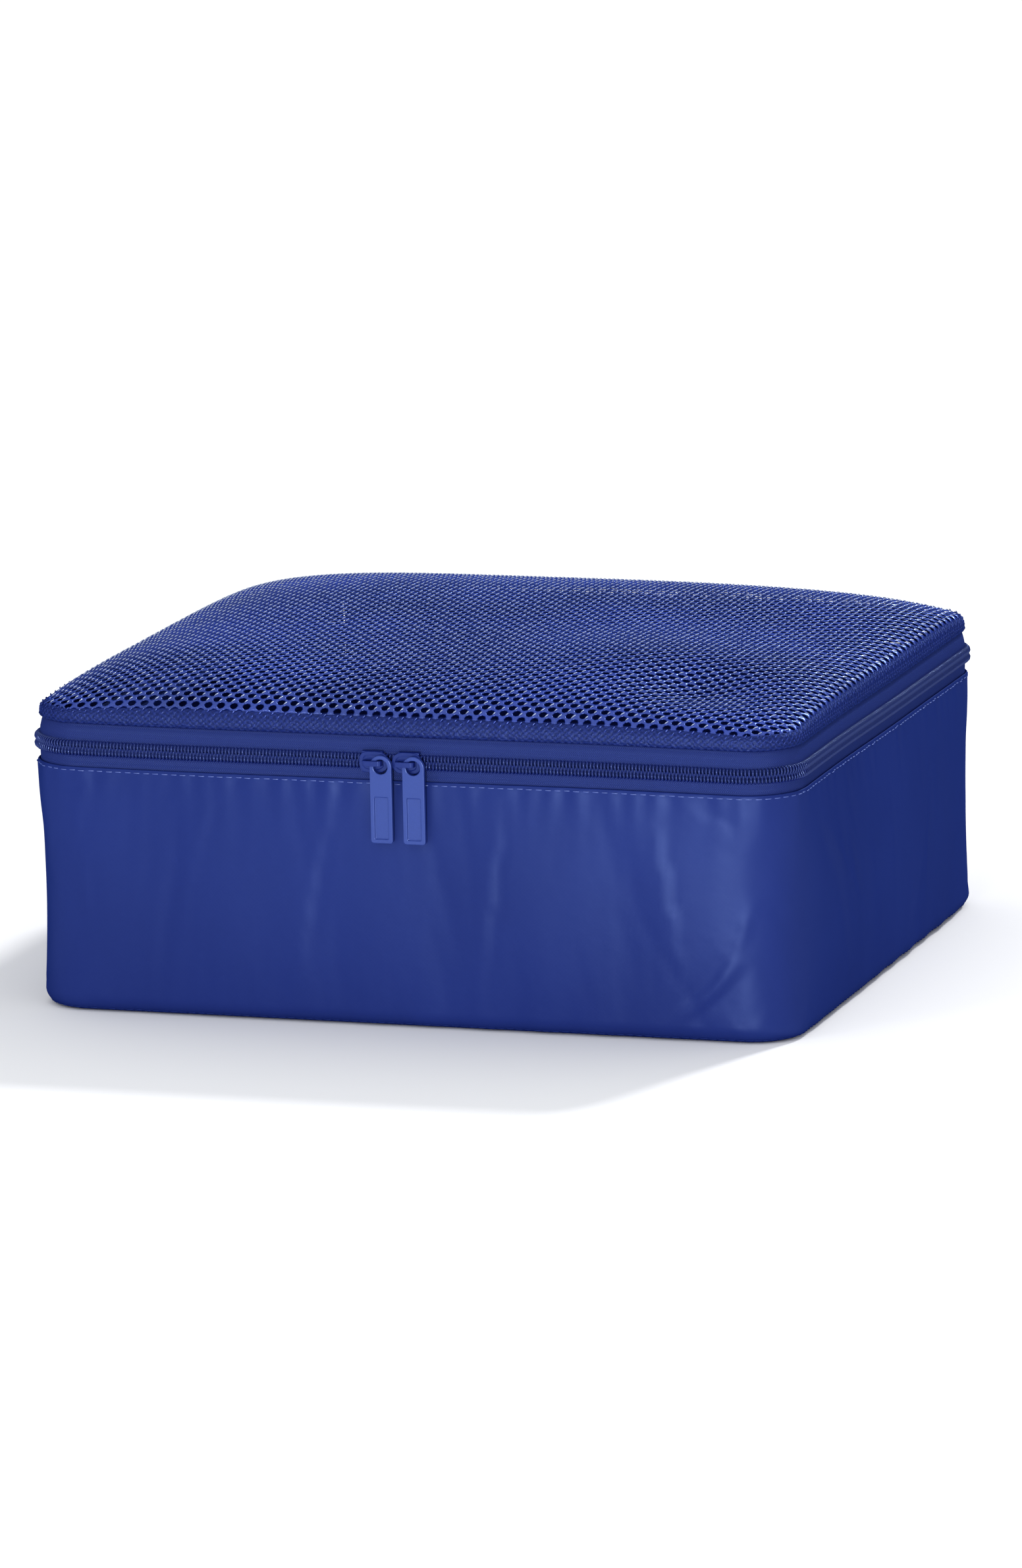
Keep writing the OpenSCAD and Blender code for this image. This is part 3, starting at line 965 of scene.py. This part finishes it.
def make_bindings():
    u = stations(ZIP_START, ZIP_END, 4 * MM)
    inner = TAPE_OUT - 0.55 * MM
    line = in_mm([(0, -8.5), (-0.5, -7), (-0.6, -3), (0, -1.5)], inner, WALL_TOP)
    make_band("wall_seam_binding", u, line, BINDING_T, BINDING, "shell", "binding", "wall_binding")
    line = in_mm([(-1.2, -2), (-1.9, -0.5), (-2.9, 1.5), (-3.2, 3.0)], inner, HEM_Z)
    make_band("lid_seam_binding", u, line, BINDING_T, BINDING, "lid", "binding", "lid_binding")
    line = in_mm([(-2.2, 9.5), (-2.9, 8), (-4.2, 4), (-7.2, 1.6)])
    make_band("base_seam_binding", loop_stations(4 * MM), line, BINDING_T, BINDING, "shell", "binding",
              "base_binding", True, 0)
    for side, at in ZIP_ENDS:
        make_upright_binding(side, at)
    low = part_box("hinge_binding")[0].z
    u = stations(ZIP_END + 8 * MM, AROUND + ZIP_START - 8 * MM, 4 * MM)
    line = [*in_mm([(-1.3, 0), (-1.8, 1.5)], 0, low), *in_mm([(-1.8, -2), (-1.4, -0.8)], 0, ZIP_Z)]
    make_band("hinge_seam_binding", u, line, BINDING_T, BINDING, "shell", "binding", "hinge_binding",
              sway=0)


def strip_grid(at, half, step, heights):
    """Path and height of each point of an upright strip."""
    return np.meshgrid(stations(at - half, at + half, step), heights, indexing="ij")


def upright(name, grid, front, back, *look):
    """An upright strip between a front and a back that stand out by the given amounts."""
    uu, zz = grid
    outs = np.concatenate([front, back[:, ::-1]], 1)
    dress(sweep(name, uu[:, 0], outs, np.concatenate([zz, zz[:, ::-1]], 1)), *look)


def make_upright_binding(side, at):
    node = side + "_seam_binding"
    low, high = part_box(node)
    half = 4 * MM
    uu, zz = grid = strip_grid(at, half, 1 * MM, np.linspace(low.z, high.z, 24))
    bulge = 0.8 * MM * np.sqrt(np.clip(1 - ((uu - at) / half) ** 2, 0, 1))
    front = wall_out(uu, zz) + TAPE_OUT
    look = BINDING, "shell", "binding", node
    upright(side + "_upright_binding", grid, front, front - 0.25 * MM - bulge, *look)


def make_end_tabs():
    """A folded patch of nylon over each end of the zip."""
    for side, at in ZIP_ENDS:
        node = side + "_zipper_end_tab"
        low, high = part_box(node)
        half = (high.x - low.x) / 2
        uu, zz = grid = strip_grid(at, half, 0.8 * MM, np.linspace(low.z, high.z - 0.1 * MM, 12))
        rounding = np.minimum(np.minimum(half - np.abs(uu - at), zz - low.z), high.z - zz)
        face = 0.15 * MM + 0.8 * MM * np.sqrt(np.clip(rounding / (1.6 * MM), 0, 1))
        look = NYLON, "shell", "nylon", node
        upright("zip_end_tab_" + side, grid, face, np.full_like(face, -0.3 * MM), *look)


# ---- sliders and pulls ----


def round_outline(width, height, radius, cx=0.0, cz=0.0, steps=7):
    """Corner points of a rounded rectangle, anticlockwise."""
    points = []
    for k, (sx, sz) in enumerate(((1, 1), (-1, 1), (-1, -1), (1, -1))):
        for i in range(steps + 1):
            a = math.pi / 2 * (k + i / steps)
            points.append((cx + sx * (width / 2 - radius) + radius * math.cos(a),
                           cz + sz * (height / 2 - radius) + radius * math.sin(a)))
    return points


def circle_outline(radius, cx=0.0, cz=0.0, steps=40):
    angles = [2 * math.pi * k / steps for k in range(steps)]
    return [(cx + radius * math.cos(a), cz + radius * math.sin(a)) for a in angles]


def tube_faces(count):
    """Two ends of count corners each, and the sides between them."""
    sides = [[i, i + count, (i + 1) % count + count, (i + 1) % count] for i in range(count)]
    return [list(range(count)), list(range(count, 2 * count))[::-1]] + sides


def prism(points, y0, y1):
    """Vertices and faces of an outline in X and Z, drawn out along Y."""
    return [(x, y, z) for y in (y0, y1) for x, z in points], tube_faces(len(points))


def combine(piece, others, kind):
    """Adds or cuts other solids, then removes them."""
    for other in others:
        modifier = piece.modifiers.new("cut", "BOOLEAN")
        modifier.operation = kind
        modifier.solver = "EXACT"
        modifier.object = other
        apply_modifiers(piece)
        bpy.data.objects.remove(other)


def apply_modifiers(piece):
    bpy.context.view_layer.update()
    evaluated = piece.evaluated_get(bpy.context.evaluated_depsgraph_get())
    mesh = bpy.data.meshes.new_from_object(evaluated)
    piece.modifiers.clear()
    piece.data = mesh


def cast(piece, voxel, passes):
    """Rounds a rough solid as a casting with a coat of enamel on it."""
    remesh = piece.modifiers.new("remesh", "REMESH")
    remesh.mode = "VOXEL"
    remesh.voxel_size = voxel
    soften = piece.modifiers.new("soften", "SMOOTH")
    soften.iterations = passes
    soften.factor = 0.5
    apply_modifiers(piece)
    piece.data.polygons.foreach_set("use_smooth", [True] * len(piece.data.polygons))


def slider_face(cx, mouth, length, height):
    """Outline of a slider: a round mouth, a slight waist and a squarer tail."""
    points = []
    for k in range(48):
        a = 2 * math.pi * k / 48
        x, z = math.cos(a), math.sin(a)
        toward = x * mouth
        wide, tall = (0.9, 0.75) if toward > 0 else (0.5, 0.6)
        waist = height / 2 * (1 - 0.10 * (1 - toward) / 2)
        px = math.copysign(abs(x) ** wide, x) * length / 2
        points.append((cx + px, ZIP_Z + math.copysign(abs(z) ** tall, z) * waist))
    return points


PLATE_T = 1.5 * MM


def make_slider(side, mouth):
    node = side + "_slider_body"
    low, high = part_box(node)
    cx, length, height = (low.x + high.x) / 2, high.x - low.x, high.z - low.z
    front, back = low.y, high.y

    def plate(name, y0, y1, long=1.0, tall=1.0):
        return solid(name, *prism(slider_face(cx, mouth, length * long, height * tall), y0, y1))

    body = plate(node + "_cast", front, front + PLATE_T)
    neck = round_outline(2.2 * MM, 0.9 * MM, 0.3 * MM, cx + mouth * 3.6 * MM, ZIP_Z)
    extras = [plate("back", back - 1.2 * MM, back, tall=0.96),
              solid("neck", *prism(neck, front + 0.5 * MM, back - 0.5 * MM))]
    for up in (-1, 1):
        lip_z = ZIP_Z + up * (height / 2 - 0.75 * MM)
        lip = round_outline(9.2 * MM, 1.0 * MM, 0.3 * MM, cx - mouth * 0.8 * MM, lip_z)
        extras.append(solid("lip", *prism(lip, front + 0.6 * MM, front + PLATE_T + 1.5 * MM)))
    extras.append(plate("crown", front - 0.35 * MM, front + 0.6 * MM, 0.72, 0.66))
    combine(body, extras, "UNION")
    cast(body, 0.14 * MM, 4)
    dress(body, ENAMEL, side + "_slider", "slider", node)
    bridge = side + "_slider_bridge"
    bar = bridge_mesh(bridge + "_cast", *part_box(bridge), front)
    dress(bar, ENAMEL, side + "_slider", "slider", bridge)


BRIDGE_T = 1.25 * MM
BRIDGE_SUNK = 0.7 * MM


def bridge_mesh(name, low, high, foot_y):
    """The arched bar: a band that rises from the plate, runs along and comes down again."""
    half = (high.x - low.x) / 2
    cx = (low.x + high.x) / 2
    rise = foot_y - low.y
    climb = [(-half, -0.55 * rise), (-half * 0.93, -0.85 * rise), (-half * 0.72, -rise * 0.97),
             (0, -rise)]
    line = [(-half, BRIDGE_SUNK), *climb, *((-x, y) for x, y in climb[-2::-1]), (half, BRIDGE_SUNK)]
    inner = beside(np.array(line), BRIDGE_T)
    inner[0, 1] = inner[-1, 1] = BRIDGE_SUNK
    ring = np.concatenate([line, inner[::-1]])
    verts = [(cx + x, foot_y + y, z) for z in (low.z, high.z) for x, y in ring]
    bar = solid(name, verts, tube_faces(len(ring)))
    cast(bar, 0.12 * MM, 3)
    return bar


PANEL_W, PANEL_L, PANEL_EDGE = 6.0 * MM, 17.8 * MM, 1.7 * MM


def make_pull(side):
    node = side + "_pull"
    low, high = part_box(node)
    width, cx = high.x - low.x, (low.x + high.x) / 2
    front, back = low.y, high.y
    body = solid(node + "_cast", *prism(pull_outline(cx, width, low.z, high.z), front, back))
    ring = circle_outline(3.1 * MM, cx, high.z - width / 2)
    hole = solid("hole", *prism(ring, front - MM, back + MM))
    panel = round_outline(PANEL_W, PANEL_L, 0.5 * MM, cx, low.z + PANEL_EDGE + PANEL_L / 2)
    recess = solid("recess", *prism(panel, front - MM, front + 0.65 * MM))
    combine(body, [hole, recess], "DIFFERENCE")
    cast(body, 0.14 * MM, 7)
    dress(body, PULL, node, "pull", node)


def pull_outline(cx, width, low_z, high_z):
    """Round at the top, with small round corners at the bottom."""
    half, r = width / 2, 1.2 * MM
    top = high_z - half
    arc = [math.pi * k / 24 for k in range(25)]
    points = [(cx + half * math.cos(a), top + half * math.sin(a)) for a in arc]
    for centre, start in ((cx - half + r, math.pi), (cx + half - r, 1.5 * math.pi)):
        for k in range(7):
            a = start + math.pi / 2 * k / 6
            points.append((centre + r * math.cos(a), low_z + r + r * math.sin(a)))
    return points


# ---- the studio ----


def aim(thing, target):
    thing.rotation_mode = "QUATERNION"
    thing.rotation_quaternion = (Vector(target) - thing.location).to_track_quat("-Z", "Y")


def add_light(name, kind, place, target, power, size):
    """A soft light: an area of size (width, height) in metres, or a sun of size degrees across."""
    light = bpy.data.lights.new(name, kind)
    light.energy = power
    if kind == "SUN":
        light.angle = math.radians(size)
    else:
        light.shape = "RECTANGLE"
        light.size, light.size_y = size
    thing = bpy.data.objects.new(name, light)
    thing.location = place
    thing.visible_camera = False
    bpy.context.scene.collection.objects.link(thing)
    aim(thing, target)


CAMERA_DISTANCE = 4.0
CAMERA_LENS = 214


def make_camera():
    """A little round to the right of the front and looking slightly down, with a long lens."""
    low, high = (Vector(corner) for corner in cad_box)
    centre = (low + high) / 2
    azimuth, elevation, roll = np.radians([17.9, 11.4, -1.2])
    flat = math.cos(elevation)
    back = Vector((math.sin(azimuth) * flat, -math.cos(azimuth) * flat, math.sin(elevation)))
    camera = bpy.data.cameras.new("camera")
    camera.lens = CAMERA_LENS
    thing = bpy.data.objects.new("camera", camera)
    thing.location = centre + back * CAMERA_DISTANCE
    bpy.context.scene.collection.objects.link(thing)
    aim(thing, centre)
    thing.rotation_quaternion = thing.rotation_quaternion @ Quaternion((0, 0, 1), roll)
    bpy.context.scene.camera = thing


FLOOR_HALF = 40


def make_studio():
    corners = [(x * FLOOR_HALF, y * FLOOR_HALF, 0) for x, y in ((-1, -1), (1, -1), (1, 1), (-1, 1))]
    floor = make_piece("floor", corners, [[0, 1, 2, 3]])
    floor.data.materials.append(floor_material())
    world = bpy.data.worlds.new("studio")
    graph = Graph(world)
    up = graph.split(graph.add("TexCoord", {}).outputs["Generated"])[2]
    sky = graph.ramp(up, (0.22, 0.23, 0.25), (1.0, 1.02, 1.05), (0.0, 0.75))
    graph.fill(graph.nodes["Background"], {"Color": sky})
    bpy.context.scene.world = world
    target = (0, 0, 0.07)
    add_light("back_sun", "SUN", (0.5, 1.4, 1.34), target, 2.0, 6)
    add_light("front_left", "AREA", (-0.8, -1.4, 1.1), target, 2, (0.25, 0.25))
    add_light("front_strip", "AREA", (0.24, -1.34, 0.13), (0.10, -0.15, 0.07), 9.0, (0.14, 0.20))
    bpy.context.scene.view_settings.view_transform = "Standard"


make_camera()
make_studio()
make_base()
make_wall()
make_hinge_panel()
make_zip_tapes()
make_coils()
make_all_stitches()
make_hem()
make_lid_mesh()
make_mesh_glints()
make_bindings()
make_end_tabs()
for side, mouth in (("left", 1), ("right", -1)):
    make_slider(side, mouth)
    make_pull(side)
